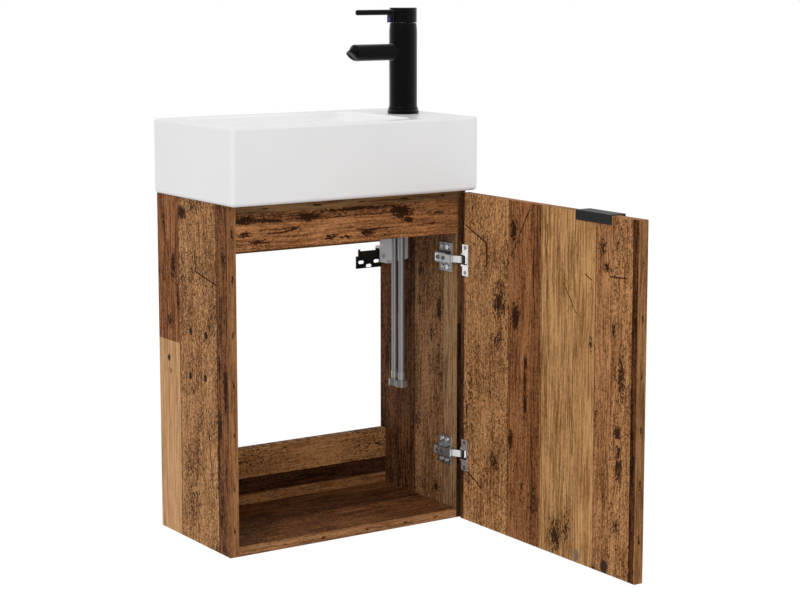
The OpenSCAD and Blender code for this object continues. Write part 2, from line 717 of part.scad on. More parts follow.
left_side_panel();
right_side_panel();
bottom_panel();
front_top_stretcher();
rear_top_stretcher();
front_top_rail();
rear_top_rail();
rear_bottom_rail();
cam_locks();
cam_bolts();
basin();
tap_body();
tap_gasket();
tap_cartridge();
tap_spindle();
tap_lift_pin();
tap_stem();
tap_cap();
tap_lever();
tap_grub_screw();
tap_indicator();
tap_aerator();
tap_stud();
tap_washer();
tap_nut();
hose_front_tube();
hose_front_tail();
hose_front_ferrule();
hose_front_nut();
hose_rear_tube();
hose_rear_tail();
hose_rear_ferrule();
hose_rear_nut();
door_panel();
door_handle();
handle_screws();
hinge_plate_upper();
hinge_plate_lower();
hinge_plate_screws();
hinge_arm_upper();
hinge_arm_lower();
hinge_arm_screws();
hinge_link_upper();
hinge_link_lower();
hinge_pins();
hinge_cup_upper();
hinge_cup_lower();
hinge_cup_screws();
hanger_box_left();
hanger_box_right();
hanger_hook_left();
hanger_hook_right();
hanger_screws();
hanger_adjusters();
wall_plate_left();
wall_plate_right();
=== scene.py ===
import bpy
import math
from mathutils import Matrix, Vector


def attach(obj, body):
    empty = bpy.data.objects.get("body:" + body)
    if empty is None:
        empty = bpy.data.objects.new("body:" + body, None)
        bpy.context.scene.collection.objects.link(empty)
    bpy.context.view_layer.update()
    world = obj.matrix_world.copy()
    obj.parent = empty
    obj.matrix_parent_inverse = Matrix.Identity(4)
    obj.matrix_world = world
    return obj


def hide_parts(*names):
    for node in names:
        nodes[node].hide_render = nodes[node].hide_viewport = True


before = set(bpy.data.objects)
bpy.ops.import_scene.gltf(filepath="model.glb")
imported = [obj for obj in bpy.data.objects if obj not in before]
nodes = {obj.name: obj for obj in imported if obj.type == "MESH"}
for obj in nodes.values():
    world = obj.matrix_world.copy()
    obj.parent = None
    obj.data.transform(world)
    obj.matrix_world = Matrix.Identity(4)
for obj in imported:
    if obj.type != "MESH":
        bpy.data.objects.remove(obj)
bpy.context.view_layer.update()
scene = bpy.context.scene
scene.view_settings.view_transform = "Standard"

# heights and depths of the part's source, in millimetres
FIX_Z = 390.7                            # the outer wall slots, where the frame's origin lies
CAB_D = 222.0                            # the cabinet's depth
HINGE_LOW, HINGE_HIGH = 107.0, 420.0     # the hinges' centres
TAP_X, TAP_Y = 161.3, -124.5             # the tap's axis
HOSE_TOP, HOSE_END = 612.0, 217.5        # the hoses' upper and lower ends
HOSE_STRAIGHT = 601.0                    # they hang straight down to this height
DRIFT_TOP, DRIFT_LOW = 590, 480          # and drift sideways between these two
# places in the frame, in metres
DOOR_IN = 0.1982                         # the open door's inner face, on x
BOWL_X, BOWL_Y = (-0.205, 0.12), (-0.235, -0.02)
BOWL_TOP, BOWL_LOW = 0.0005, 0.09        # how far below the rim the bowl's painted lighter band starts and ends
CUP_SHADE_DEPTH = 0.0105                        # the height of the cups' deepest part, which is painted near black as painted shade
FLOOR_Z = -0.6
FLOOR_GLOW, FLOOR_SHARE = 1.08, 0.86     # the floor's own light as seen, and its share
WORLD_LIGHT, WORLD_WHITE = 0.70, 1.0     # what lights the object, and what is seen behind it


def row_z(height):
    """a place on z, in millimetres above the cabinet's underside"""
    return (height - FIX_Z) / 1000.0


def row_y(depth):
    """a place on y, in millimetres behind the cabinet's front"""
    return (depth - CAB_D) / 1000.0


def rgb(r, g, b):
    """a colour given as it looks on screen, 0 to 255"""
    def one(c):
        c /= 255.0
        return c / 12.92 if c <= 0.04045 else ((c + 0.055) / 1.055) ** 2.4
    return (one(r), one(g), one(b), 1.0)


# ---------------------------------------------------------------- camera
cam = bpy.data.objects.new("camera", bpy.data.cameras.new("camera"))
scene.collection.objects.link(cam)
scene.camera = cam
cam.data.sensor_width = 36.0
cam.data.lens = 89.852
cam.data.shift_y = -0.05
cam.data.clip_start = 0.1
cam.data.clip_end = 50.0
cam.location = (-1.6073, -2.7668, 0.4757)
yaw, pitch = math.radians(33.7063), math.radians(8.1839)
look = Vector((math.sin(yaw) * math.cos(pitch), math.cos(yaw) * math.cos(pitch), -math.sin(pitch)))
cam.rotation_mode = "QUATERNION"
cam.rotation_quaternion = look.to_track_quat("-Z", "Y")


# ---------------------------------------------------------------- node helpers
class Net:
    """one material's node tree, with short calls that add a node and return its output"""

    def __init__(self, name):
        self.mat = bpy.data.materials.new(name)
        self.mat.use_nodes = True
        self.tree = self.mat.node_tree
        self.tree.nodes.clear()
        self.out = self.tree.nodes.new("ShaderNodeOutputMaterial")
        self.shader = self.tree.nodes.new("ShaderNodeBsdfPrincipled")
        self.tree.links.new(self.shader.outputs[0], self.out.inputs[0])

    def put(self, socket, value):
        if hasattr(value, "is_linked"):
            self.tree.links.new(value, socket)
        else:
            socket.default_value = value

    def math(self, op, a, b=None, c=None, clamp=False):
        n = self.tree.nodes.new("ShaderNodeMath")
        n.operation = op
        n.use_clamp = clamp
        for i, v in enumerate((a, b, c)):
            if v is not None:
                self.put(n.inputs[i], v)
        return n.outputs[0]

    def vmath(self, op, a, b=None, scale=None):
        n = self.tree.nodes.new("ShaderNodeVectorMath")
        n.operation = op
        self.put(n.inputs[0], a)
        if b is not None:
            self.put(n.inputs[1], b)
        if scale is not None:
            self.put(n.inputs["Scale"], scale)
        return n.outputs["Value"] if op in ("LENGTH", "DOT_PRODUCT", "DISTANCE") else n.outputs[0]

    def comb(self, x, y, z):
        n = self.tree.nodes.new("ShaderNodeCombineXYZ")
        for i, v in enumerate((x, y, z)):
            self.put(n.inputs[i], v)
        return n.outputs[0]

    def sep(self, v):
        n = self.tree.nodes.new("ShaderNodeSeparateXYZ")
        self.put(n.inputs[0], v)
        return n.outputs

    def place(self):
        return self.tree.nodes.new("ShaderNodeTexCoord").outputs["Object"]

    def noise(self, vec, scale=1.0, detail=4.0, rough=0.55, distort=0.0):
        n = self.tree.nodes.new("ShaderNodeTexNoise")
        self.put(n.inputs["Vector"], vec)
        n.inputs["Scale"].default_value = scale
        n.inputs["Detail"].default_value = detail
        n.inputs["Roughness"].default_value = rough
        n.inputs["Distortion"].default_value = distort
        return n.outputs[0]

    def span(self, v, a, b, lo=0.0, hi=1.0, smooth=True):
        n = self.tree.nodes.new("ShaderNodeMapRange")
        n.interpolation_type = "SMOOTHSTEP" if smooth else "LINEAR"
        self.put(n.inputs["Value"], v)
        for k, x in (("From Min", a), ("From Max", b), ("To Min", lo), ("To Max", hi)):
            n.inputs[k].default_value = x
        return n.outputs[0]

    def mix(self, fac, a, b, kind="MIX"):
        n = self.tree.nodes.new("ShaderNodeMix")
        n.data_type = "RGBA"
        n.blend_type = kind
        self.put(n.inputs[0], fac)
        self.put(n.inputs[6], a)
        self.put(n.inputs[7], b)
        return n.outputs[2]

    def ramp(self, fac, stops):
        n = self.tree.nodes.new("ShaderNodeValToRGB")
        r = n.color_ramp
        r.interpolation = "CONSTANT"
        while len(r.elements) > 1:
            r.elements.remove(r.elements[-1])
        r.elements[0].position = stops[0][0]
        r.elements[0].color = stops[0][1]
        for p, c in stops[1:]:
            e = r.elements.new(p)
            e.color = c
        self.put(n.inputs[0], fac)
        return n.outputs[0]

    def bump(self, height, strength, distance):
        n = self.tree.nodes.new("ShaderNodeBump")
        n.inputs["Strength"].default_value = strength
        n.inputs["Distance"].default_value = distance
        self.put(n.inputs["Height"], height)
        self.tree.links.new(n.outputs[0], self.shader.inputs["Normal"])

    def set(self, **k):
        for name, v in k.items():
            self.put(self.shader.inputs[name.replace("_", " ")], v)
        return self.mat


# ---------------------------------------------------------------- wood
DEEP = rgb(36, 18, 8)


def wood(name, along, across, planks, knots=(), nails=(), lines=(), seed=0.0, below=None,
         level=(1.0, 1.0, 1.0)):
    """planks: (start, end, light, dark, marks, streaks, contrast), rising along the across axis;
    an eighth value hides the plank's joint. knots: (across, along, half width, half length,
    strength). nails: (across, along, radius, colour). lines: cracks from (across, along) to
    (across, along), and their width. below: (place along the grain, planks beyond it)."""
    g = Net(name)
    xyz = g.sep(g.place())
    third = 3 - along - across
    u, w, d = xyz[across], xyz[along], xyz[third]
    bend = g.noise(g.comb(g.math("MULTIPLY", u, 18.0), g.math("MULTIPLY", w, 9.0), seed + 3.1), detail=2)
    bend = g.math("SUBTRACT", bend, 0.5)
    edge = g.noise(g.comb(g.math("MULTIPLY", w, 90.0), seed, 0.0), detail=4)
    uw = g.math("MULTIPLY_ADD", g.math("SUBTRACT", edge, 0.5), 0.0040, u)

    def layout(rows):
        lo, hi = rows[0][0], rows[-1][1]
        t = g.math("DIVIDE", g.math("SUBTRACT", uw, lo), hi - lo, clamp=True)
        at = [max(0.0, (p[0] - lo) / (hi - lo)) for p in rows]
        light = g.ramp(t, [(a, rgb(*p[2])) for a, p in zip(at, rows)])
        dark = g.ramp(t, [(a, rgb(*p[3])) for a, p in zip(at, rows)])
        mask = g.ramp(t, [(a, (p[4], p[5], min(1.0, p[6] / 2), 1)) for a, p in zip(at, rows)])
        shift = g.ramp(t, [(a, ((i * 0.37) % 1, 0, 0, 1)) for i, a in enumerate(at)])
        return light, dark, mask, shift

    light, dark, mask, shift = layout(planks)
    if below is not None:
        low = g.math("LESS_THAN", w, below[0])
        light, dark, mask, shift = (g.mix(low, one, two) for one, two in
                                    zip((light, dark, mask, shift), layout(below[1])))
    split = g.tree.nodes.new("ShaderNodeSeparateColor")
    g.tree.links.new(mask, split.inputs[0])
    speck, streak, contrast = split.outputs[0], split.outputs[1], g.math("MULTIPLY", split.outputs[2], 2.0)
    sh = g.math("MULTIPLY", g.sep(shift)[0], 40.0)
    ub = g.math("MULTIPLY_ADD", bend, 0.010, u)

    def layer(su, sw, k, detail=4, rough=0.6, distort=0.0, deep=0.0):
        return g.noise(g.comb(g.math("MULTIPLY_ADD", ub, su, sh), g.math("MULTIPLY", w, sw),
                              g.math("MULTIPLY_ADD", d, deep, seed + k)),
                       detail=detail, rough=rough, distort=distort)

    grain = layer(300.0, 9.0, 0.0, 6, 0.7, deep=200.0)
    fibre = layer(620.0, 40.0, 7.7, 3, 0.6)
    blotch = layer(26.0, 9.0, 1.3, 3, 0.55)
    mottle = layer(330.0, 190.0, 4.4, 4, 0.75, 0.5)
    total = None
    lined = g.math("MULTIPLY_ADD", speck, -2.2, 4.6)
    rough = g.math("MULTIPLY_ADD", speck, 2.1, 0.8)
    for n, k in ((grain, lined), (fibre, 1.5), (blotch, 1.2), (mottle, rough)):
        part = g.math("MULTIPLY", g.math("SUBTRACT", n, 0.5), k)
        total = part if total is None else g.math("ADD", total, part)
    tone = g.math("MULTIPLY_ADD", total, contrast, 0.52, clamp=True)
    col = g.mix(tone, dark, light)

    # long dark streaks along the grain
    long = g.span(layer(110.0, 8.0, 5.0, 5, 0.72), 0.54, 0.68)
    col = g.mix(g.math("MULTIPLY", long, streak), col, DEEP)

    # worm marks; knots and cracks thicken them into ragged dark spots
    near = 0.0
    for k in knots:
        r = g.vmath("LENGTH", g.comb(g.math("DIVIDE", g.math("SUBTRACT", u, k[0]), k[2]),
                                     g.math("DIVIDE", g.math("SUBTRACT", w, k[1]), k[3]), 0.0))
        near = g.math("MAXIMUM", near, g.span(r, 0.1, 1.25, k[4], 0.0, False))
    for c in lines:
        ab = (c[2] - c[0], c[3] - c[1], 0.0)
        size = ab[0] ** 2 + ab[1] ** 2
        spot = g.comb(g.math("MULTIPLY_ADD", bend, 0.02, u), w, 0.0)
        pa = g.vmath("SUBTRACT", spot, (c[0], c[1], 0.0))
        h = g.math("DIVIDE", g.vmath("DOT_PRODUCT", pa, ab), size, clamp=True)
        off = g.vmath("LENGTH", g.vmath("SUBTRACT", pa, g.vmath("SCALE", ab, scale=h)))
        near = g.math("MAXIMUM", near, g.span(off, c[4] * 0.3, c[4] * 1.6, 0.95, 0.0))
    small = g.noise(g.comb(g.math("MULTIPLY", u, 400.0), g.math("MULTIPLY", w, 165.0), seed + 2.0),
                    detail=3, rough=0.55, distort=0.9)
    large = g.noise(g.comb(g.math("MULTIPLY", u, 150.0), g.math("MULTIPLY", w, 58.0), seed + 12.0),
                    detail=4, rough=0.6, distort=1.2)
    patch = g.noise(g.comb(g.math("MULTIPLY_ADD", u, 16.0, sh), g.math("MULTIPLY", w, 9.0),
                           seed + 9.0), detail=2)
    patch = g.math("SUBTRACT", patch, 0.5)
    lift = g.math("ADD", g.math("MULTIPLY_ADD", patch, 0.28, -0.155),
                  g.math("MULTIPLY", speck, 0.125))
    one = g.span(g.math("ADD", g.math("MULTIPLY_ADD", near, 0.34, small), lift), 0.565, 0.625)
    two = g.span(g.math("ADD", g.math("MULTIPLY_ADD", near, 0.30, large), lift), 0.600, 0.650)
    spots = g.math("MAXIMUM", one, two)
    fleck = g.noise(g.comb(g.math("MULTIPLY", u, 480.0), g.math("MULTIPLY", w, 250.0), seed + 31.0),
                    detail=2, rough=0.6, distort=1.4)
    fleck = g.math("MULTIPLY_ADD", patch, 0.16, g.math("MULTIPLY_ADD", speck, 0.09, fleck))
    three = g.math("MULTIPLY", g.span(fleck, 0.655, 0.680), speck)
    spots = g.math("MAXIMUM", spots, three)
    fringe = g.math("MULTIPLY", near, 0.35)
    col = g.mix(fringe, col, dark)
    col = g.mix(g.math("MULTIPLY", spots, 0.94), col, DEEP)

    # joints between the boards
    rows = planks[1:] if below is None else planks[1:] + below[1][1:]
    for q in rows:
        if len(q) > 7:
            continue
        line = g.span(g.math("ABSOLUTE", g.math("SUBTRACT", uw, q[0])), 0.0002, 0.0011, 0.8, 0.0)
        col = g.mix(g.math("MULTIPLY", line, g.span(blotch, 0.3, 0.6, 0.4, 1.0)), col, DEEP)

    # nail holes
    for k in nails:
        r = g.vmath("LENGTH", g.comb(g.math("SUBTRACT", u, k[0]),
                                     g.math("MULTIPLY", g.math("SUBTRACT", w, k[1]), 0.75), 0.0))
        r = g.math("MULTIPLY_ADD", g.math("SUBTRACT", small, 0.5), 0.004, r)
        col = g.mix(g.span(r, k[2] * 0.7, k[2] * 1.15, 0.95, 0.0), col, rgb(*k[3]))
    if level != (1.0, 1.0, 1.0):
        col = g.mix(1.0, col, (*level, 1), "MULTIPLY")
    g.bump(g.math("SUBTRACT", tone, spots), 0.10, 0.0004)
    g.set(Base_Color=col, Roughness=0.6)
    g.shader.inputs["Specular IOR Level"].default_value = 0.03
    return g.mat


X, Y, Z = 0, 1, 2
NAIL = (30, 24, 20)

# the open door's planks lie along y, so its free edge comes first
door_planks = [
    (-0.700, -0.6600, (178, 134, 90), (120, 80, 48), 0.2, 0.2, 0.9),
    (-0.6600, -0.6485, (90, 55, 32), (24, 11, 5), 0.8, 0.7, 1.6),
    (-0.6485, -0.6030, (180, 134, 91), (100, 64, 36), 0.95, 0.25, 1.2),
    (-0.6030, -0.5660, (174, 127, 86), (98, 64, 37), 0.75, 0.25, 1.2, 0),
    (-0.5660, -0.5270, (186, 146, 99), (122, 85, 50), 0.25, 0.05, 1.0),
    (-0.5270, -0.4400, (182, 142, 96), (108, 74, 42), 0.30, 0.05, 1.1, 0),
    (-0.4400, -0.4150, (138, 94, 60), (70, 40, 20), 0.70, 0.45, 1.2),
    (-0.4150, -0.3585, (156, 108, 70), (82, 48, 26), 0.72, 0.30, 1.1, 0),
    (-0.3585, -0.2418, (188, 142, 97), (104, 68, 38), 1.0, 0.10, 1.2),
    (-0.2418, -0.2000, (96, 62, 38), (26, 13, 6), 0.6, 0.8, 1.4),
]
door_knots = [
    (-0.4773, -0.3560, 0.024, 0.036, 1.0), (-0.5050, -0.3460, 0.012, 0.050, 0.7),
    (-0.3763, -0.0394, 0.011, 0.024, 1.0), (-0.3327, -0.0250, 0.018, 0.034, 0.72),
    (-0.3300, -0.0850, 0.016, 0.018, 0.45), (-0.5568, -0.0560, 0.009, 0.022, 0.85),
    (-0.4015, -0.1100, 0.005, 0.014, 1.0), (-0.3690, 0.0900, 0.010, 0.024, 0.75),
    (-0.3660, -0.2350, 0.008, 0.020, 0.9), (-0.4015, -0.1700, 0.006, 0.014, 0.9),
    (-0.5820, 0.0890, 0.010, 0.018, 0.7), (-0.5900, 0.0600, 0.014, 0.010, 0.7),
    (-0.6260, -0.0900, 0.010, 0.045, 0.7), (-0.6230, -0.2250, 0.010, 0.032, 0.7),
    (-0.6200, -0.1750, 0.008, 0.012, 0.85), (-0.4000, -0.1350, 0.0035, 0.026, 0.75),
    (-0.3250, -0.2780, 0.012, 0.020, 0.6), (-0.4220, -0.3150, 0.010, 0.040, 0.6),
    (-0.6080, -0.0295, 0.006, 0.012, 0.7), (-0.6190, -0.3150, 0.012, 0.014, 0.6),
    (-0.5660, -0.3900, 0.006, 0.010, 0.9),
]
door_nails = [(-0.5292, -0.3775, 0.0072, (112, 98, 88)), (-0.5931, -0.3790, 0.0082, (42, 38, 30))]
door_lines = [
    (-0.2450, 0.0850, -0.3010, 0.0640, 0.0011), (-0.3010, 0.0640, -0.3030, 0.0250, 0.0013),
    (-0.4530, 0.1080, -0.4530, -0.0100, 0.0009), (-0.4920, 0.0250, -0.5220, -0.0150, 0.0010),
    (-0.3630, 0.0500, -0.4080, 0.1250, 0.0011), (-0.2450, -0.3050, -0.2900, -0.3280, 0.0013),
    (-0.4200, -0.2200, -0.4180, -0.3300, 0.0009), (-0.6000, 0.0480, -0.6350, 0.0500, 0.0009),
    (-0.5400, 0.0450, -0.5560, 0.0380, 0.0009), (-0.4200, 0.0500, -0.4180, -0.0500, 0.0009),
]
door_face = wood("wood_door_inner", Z, Y, door_planks, door_knots, door_nails, door_lines, seed=1.0,
                 level=(1.30, 1.22, 1.14))
door_front = wood("wood_door_outer", Z, Y, door_planks, door_knots[2:9], (), (), seed=14.0,
                  level=(1.26, 1.20, 1.12))

left_planks = [
    (-0.222, -0.1883, (134, 92, 62), (48, 26, 12), 0.8, 0.65, 1.2),
    (-0.1883, -0.0692, (188, 146, 106), (104, 69, 42), 1.05, 0.10, 1.1),
    (-0.0692, 0.0, (152, 106, 74), (76, 42, 22), 0.5, 0.45, 1.2),
]
left_low = left_planks[:2] + [(-0.0692, 0.0, (194, 158, 122), (146, 112, 80), 0.05, 0.05, 1.0)]
left_nails = [
    (-0.1054, -0.063, 0.0050, NAIL), (-0.1537, -0.0631, 0.0052, NAIL),
    (-0.1022, -0.1325, 0.0052, NAIL), (-0.1505, -0.1286, 0.0050, NAIL),
    (-0.0322, -0.1150, 0.0046, NAIL),
]
left_knots = [
    (-0.0380, -0.0560, 0.012, 0.016, 0.85), (-0.1950, -0.1950, 0.007, 0.030, 0.9),
    (-0.0500, 0.0300, 0.010, 0.030, 0.8), (-0.0640, -0.0150, 0.006, 0.050, 0.7),
    (-0.0800, 0.1150, 0.014, 0.012, 0.8), (-0.2100, 0.0600, 0.010, 0.020, 0.7),
    (-0.2130, -0.1300, 0.008, 0.050, 0.75), (-0.1184, 0.1283, 0.016, 0.012, 0.5),
    (-0.1090, -0.1540, 0.016, 0.012, 0.45), (-0.1950, -0.1050, 0.006, 0.020, 0.8),
    (-0.0350, -0.1340, 0.008, 0.006, 0.5), (-0.1100, -0.3300, 0.020, 0.020, 0.35),
    (-0.1900, -0.2500, 0.006, 0.050, 0.6), (-0.0200, 0.1000, 0.008, 0.030, 0.6),
]
left_lines = [(-0.122, 0.062, -0.124, 0.030, 0.0010), (-0.124, 0.030, -0.188, 0.018, 0.0010),
              (-0.158, -0.210, -0.170, -0.290, 0.0012), (-0.020, 0.080, -0.050, 0.020, 0.0010)]
left_face = wood("wood_left_outer", Z, Y, left_planks, left_knots, left_nails, left_lines, seed=5.0,
                 below=(-0.0875, left_low), level=(1.26, 1.14, 0.98))

inner_planks = [
    (-0.222, -0.1837, (160, 128, 94), (92, 66, 44), 0.35, 0.20, 1.2),
    (-0.1837, -0.1034, (164, 124, 88), (88, 60, 38), 0.95, 0.25, 1.2),
    (-0.1034, -0.0500, (118, 80, 52), (30, 15, 7), 0.9, 0.7, 1.6),
    (-0.0500, 0.0, (120, 82, 54), (34, 18, 9), 0.8, 0.6, 1.5, 0),
]
inner_face = wood("wood_side_inner", Z, Y, inner_planks,
                  [(-0.172, -0.060, 0.007, 0.022, 0.85), (-0.150, -0.100, 0.004, 0.020, 0.7),
                   (-0.115, -0.050, 0.010, 0.010, 0.6), (-0.120, 0.0, 0.008, 0.014, 0.6),
                   (-0.165, -0.352, 0.005, 0.007, 1.0), (-0.110, -0.250, 0.010, 0.016, 0.5)], seed=8.0,
                  level=(1.20, 1.14, 1.06))
outer_face = wood("wood_right_outer", Z, Y, [
    (-0.222, -0.150, (174, 130, 86), (104, 66, 36), 1.0, 0.15, 1.0),
    (-0.150, -0.070, (152, 108, 72), (78, 46, 24), 0.7, 0.35, 1.1),
    (-0.070, 0.0, (190, 146, 98), (134, 92, 54), 0.3, 0.08, 0.9)],
    [(-0.11, 0.02, 0.012, 0.025, 0.85), (-0.18, -0.2, 0.010, 0.02, 0.8)],
    [(-0.12, -0.1, 0.005, NAIL)], seed=21.0)

OVAL = (0.0022, 0.0085, 1.0)
edge_ovals = [(c, a) + OVAL for c in (-0.2055, 0.2075)
              for a in (0.098, 0.030, -0.052, -0.128, -0.205, -0.285, -0.350)]
edge_left = wood("wood_edge_left", Z, X, [
    (-0.2145, -0.195, (166, 118, 76), (106, 68, 40), 0.35, 0.10, 1.0)], edge_ovals[:7], seed=11.0)
edge_right = wood("wood_edge_right", Z, X, [
    (0.195, 0.2145, (124, 86, 56), (58, 36, 20), 0.5, 0.35, 1.1)], edge_ovals[7:], seed=22.0,
    below=(-0.0745, [(0.195, 0.2145, (72, 45, 28), (20, 11, 6), 0.6, 0.6, 1.3)]))
door_ovals = [(0.2061, a) + OVAL for a in (0.075, -0.005, -0.085, -0.165, -0.245, -0.325)]
edge_door = wood("wood_edge_door", Z, X, [
    (0.195, 0.2145, (164, 120, 77), (104, 68, 38), 0.3, 0.10, 1.0)], door_ovals, seed=12.0)
edge_door_top = wood("wood_edge_door_top", Y, X, [
    (0.195, 0.2145, (178, 130, 86), (116, 76, 46), 0.2, 0.10, 1.0)],
    [(0.2061, -0.30) + OVAL, (0.2061, -0.45) + OVAL], seed=13.0)
edge_low = wood("wood_edge_low", X, Z, [
    (row_z(0), row_z(15), (176, 128, 86), (110, 72, 42), 0.5, 0.10, 1.0)],
    [(row_z(7), x, 0.002, 0.006, 0.9) for x in (-0.12, -0.05, 0.03, 0.10, 0.16)], seed=15.0)
edge_strip = wood("wood_edge_strip", X, Z, [
    (row_z(515), row_z(530.5), (140, 106, 70), (80, 54, 32), 0.3, 0.15, 1.0)],
    [(row_z(522), x, 0.002, 0.010, 0.9) for x in (-0.15, -0.06, 0.02, 0.10, 0.17)], seed=16.0)
plain_side = wood("wood_plain", Y, X, [
    (-0.3, 0.3, (150, 108, 70), (92, 60, 36), 0.4, 0.15, 1.0)], seed=17.0)

rail_face = wood("wood_rail", X, Z, [
    (row_z(461), row_z(500), (174, 124, 82), (106, 68, 40), 0.72, 0.15, 1.1),
    (row_z(500), row_z(516), (150, 104, 68), (70, 42, 22), 0.95, 0.30, 1.2, 0)],
    [(row_z(508), -0.1850, 0.008, 0.016, 0.8), (row_z(486), -0.1850, 0.005, 0.012, 0.8),
     (row_z(473), -0.1600, 0.004, 0.020, 0.75), (row_z(505), -0.0750, 0.008, 0.024, 0.95),
     (row_z(490), -0.1150, 0.003, 0.030, 0.6), (row_z(472), -0.0350, 0.007, 0.016, 0.85),
     (row_z(474), 0.0300, 0.007, 0.016, 0.95), (row_z(470), -0.0100, 0.003, 0.014, 0.8),
     (row_z(500), 0.0950, 0.013, 0.020, 1.0), (row_z(488), 0.1050, 0.007, 0.012, 0.9),
     (row_z(497), 0.1600, 0.004, 0.030, 0.6), (row_z(480), 0.1500, 0.003, 0.030, 0.6),
     (row_z(512), 0.0100, 0.003, 0.080, 0.7)],
    lines=[(row_z(485), -0.1450, row_z(492), -0.0950, 0.0009),
           (row_z(506), -0.190, row_z(502), -0.120, 0.0012),
           (row_z(480), 0.010, row_z(478), 0.070, 0.0009)], seed=18.0, level=(1.24, 1.16, 1.08))
floor_face = wood("wood_floor", X, Y, [
    (-0.222, -0.120, (136, 92, 58), (56, 32, 16), 0.8, 0.45, 1.3),
    (-0.120, -0.050, (104, 68, 42), (34, 18, 9), 0.8, 0.65, 1.3, 0),
    (-0.050, 0.0, (126, 86, 54), (46, 26, 13), 0.7, 0.45, 1.3, 0)], seed=19.0, level=(1.22, 1.14, 1.04))
rear_face = wood("wood_rear", X, Z, [
    (row_z(15), row_z(32), (176, 130, 86), (110, 74, 44), 0.6, 0.15, 1.1),
    (row_z(32), row_z(58), (84, 54, 34), (32, 17, 9), 0.7, 0.7, 1.2),
    (row_z(58), row_z(108), (196, 148, 100), (128, 88, 54), 0.85, 0.08, 1.0),
    (row_z(108), row_z(520), (160, 116, 76), (92, 60, 36), 0.6, 0.2, 1.0)],
    [(row_z(85), -0.115, 0.006, 0.006, 0.8), (row_z(78), -0.10, 0.004, 0.012, 0.8)],
    seed=20.0, level=(1.18, 1.10, 1.00))


def paint(node, rules):
    """rules: (test on a face's normal, material); the last one takes what is left."""
    mesh = nodes[node].data
    mesh.materials.clear()
    for _, m in rules:
        mesh.materials.append(m)
    for p in mesh.polygons:
        for i, (test, _) in enumerate(rules):
            if test is None or test(p.normal):
                p.material_index = i
                break


def left(n):
    return n.x < -0.7


def right(n):
    return n.x > 0.7


def upright(n):
    return abs(n.z) < 0.5


def front(n):
    return n.y < -0.7


def top(n):
    return n.z > 0.7


paint("left_side_panel", [
    (left, left_face), (right, inner_face), (upright, edge_left), (None, plain_side)])
paint("right_side_panel", [
    (left, inner_face), (right, outer_face), (upright, edge_right), (None, plain_side)])
paint("door_panel", [
    (left, door_face), (right, door_front), (upright, edge_door), (None, edge_door_top)])
paint("bottom_panel", [(top, floor_face), (front, edge_low), (None, floor_face)])
paint("front_top_stretcher", [(front, edge_strip), (None, plain_side)])
paint("rear_top_stretcher", [(None, plain_side)])
paint("front_top_rail", [(front, rail_face), (None, rail_face)])
paint("rear_top_rail", [(None, rear_face)])
paint("rear_bottom_rail", [(None, rear_face)])


# ---------------------------------------------------------------- plain finishes
def plain(name, colour, rough, metal=0.0, spec=0.5, coat=0.0, grain=0.0, scale=900.0, dark=None,
          sheen=0.0):
    """one colour, or two that a fine noise mixes, with a slight bump where grain is given"""
    g = Net(name)
    v = g.noise(g.place(), scale=scale, detail=3)
    base = colour
    if dark is not None:
        base = g.mix(g.span(v, 0.35, 0.7), colour, dark)
    if grain > 0:
        g.bump(v, grain, 0.0003)
    g.set(Base_Color=base, Roughness=rough, Metallic=metal)
    g.shader.inputs["Specular IOR Level"].default_value = spec
    g.shader.inputs["Coat Weight"].default_value = coat
    g.shader.inputs["Coat Roughness"].default_value = 0.06
    g.shader.inputs["Sheen Weight"].default_value = sheen
    g.shader.inputs["Sheen Roughness"].default_value = 0.33
    return g.mat


ceramic = plain("ceramic_glaze", rgb(236, 236, 236), 0.34, spec=0.4, coat=0.05, scale=6.0,
                dark=rgb(234, 234, 235))
# the bowl's inside is painted lighter than the rest of the glaze, painted light against the shade inside it
bowl_painted_light = plain("bowl_glaze_painted_light", rgb(250, 250, 250), 0.34, spec=0.4, scale=6.0, dark=rgb(249, 249, 250))
black = plain("black_coating", rgb(4, 4, 4), 0.4, spec=0.05, grain=0.02, scale=2600.0,
              dark=rgb(3, 3, 4), sheen=1.0)
seal = plain("black_seal", rgb(14, 14, 14), 0.8, spec=0.2)
# the cartridge and spindle are painted near black so the seam around the stem reads dark, painted shade
cartridge = plain("cartridge_painted_shade", rgb(24, 24, 25), 0.6, spec=0.1)
zinc = plain("zinc_plate", rgb(214, 215, 216), 0.38, metal=0.45, grain=0.04, scale=500.0,
             dark=rgb(190, 191, 193))
blue = plain("indicator_blue", rgb(46, 38, 124), 0.4, spec=0.2)
dark_grey = plain("aerator_grey", rgb(34, 34, 36), 0.35, spec=0.3)
brass = plain("brass", rgb(196, 166, 98), 0.3, metal=1.0)
nut_dark = plain("nut_plate", rgb(158, 156, 152), 0.36, metal=0.7, grain=0.04)
handle_black = plain("handle_coating", rgb(40, 40, 41), 0.5, spec=0.15, grain=0.04, scale=2400.0,
                     dark=rgb(34, 34, 35))
nickel = plain("nickel_plate", rgb(240, 240, 241), 0.2, metal=0.7, grain=0.02, scale=240.0,
               dark=rgb(228, 228, 230))
nickel_dull = plain("nickel_dull", rgb(176, 176, 178), 0.32, metal=0.85, grain=0.05, scale=420.0,
                    dark=rgb(120, 121, 124))
plate_black = plain("plate_black", rgb(30, 24, 20), 0.4, spec=0.4)
# a lighter grey for the wall plates' upward faces, a painted reflection
plate_painted_reflection = plain("plate_painted_reflection", rgb(122, 122, 130), 0.4)
box_grey = plain("hanger_box_grey", rgb(236, 236, 238), 0.5)
ferrule = plain("ferrule_plate", rgb(160, 160, 160), 0.35, metal=0.6)
screw_dark = plain("screw_dark", rgb(112, 110, 108), 0.4, metal=0.6)
# near black put inside the hinge cups as painted shade
cup_painted_shade = plain("cup_shade_paint", rgb(16, 15, 15), 0.6, spec=0.2)


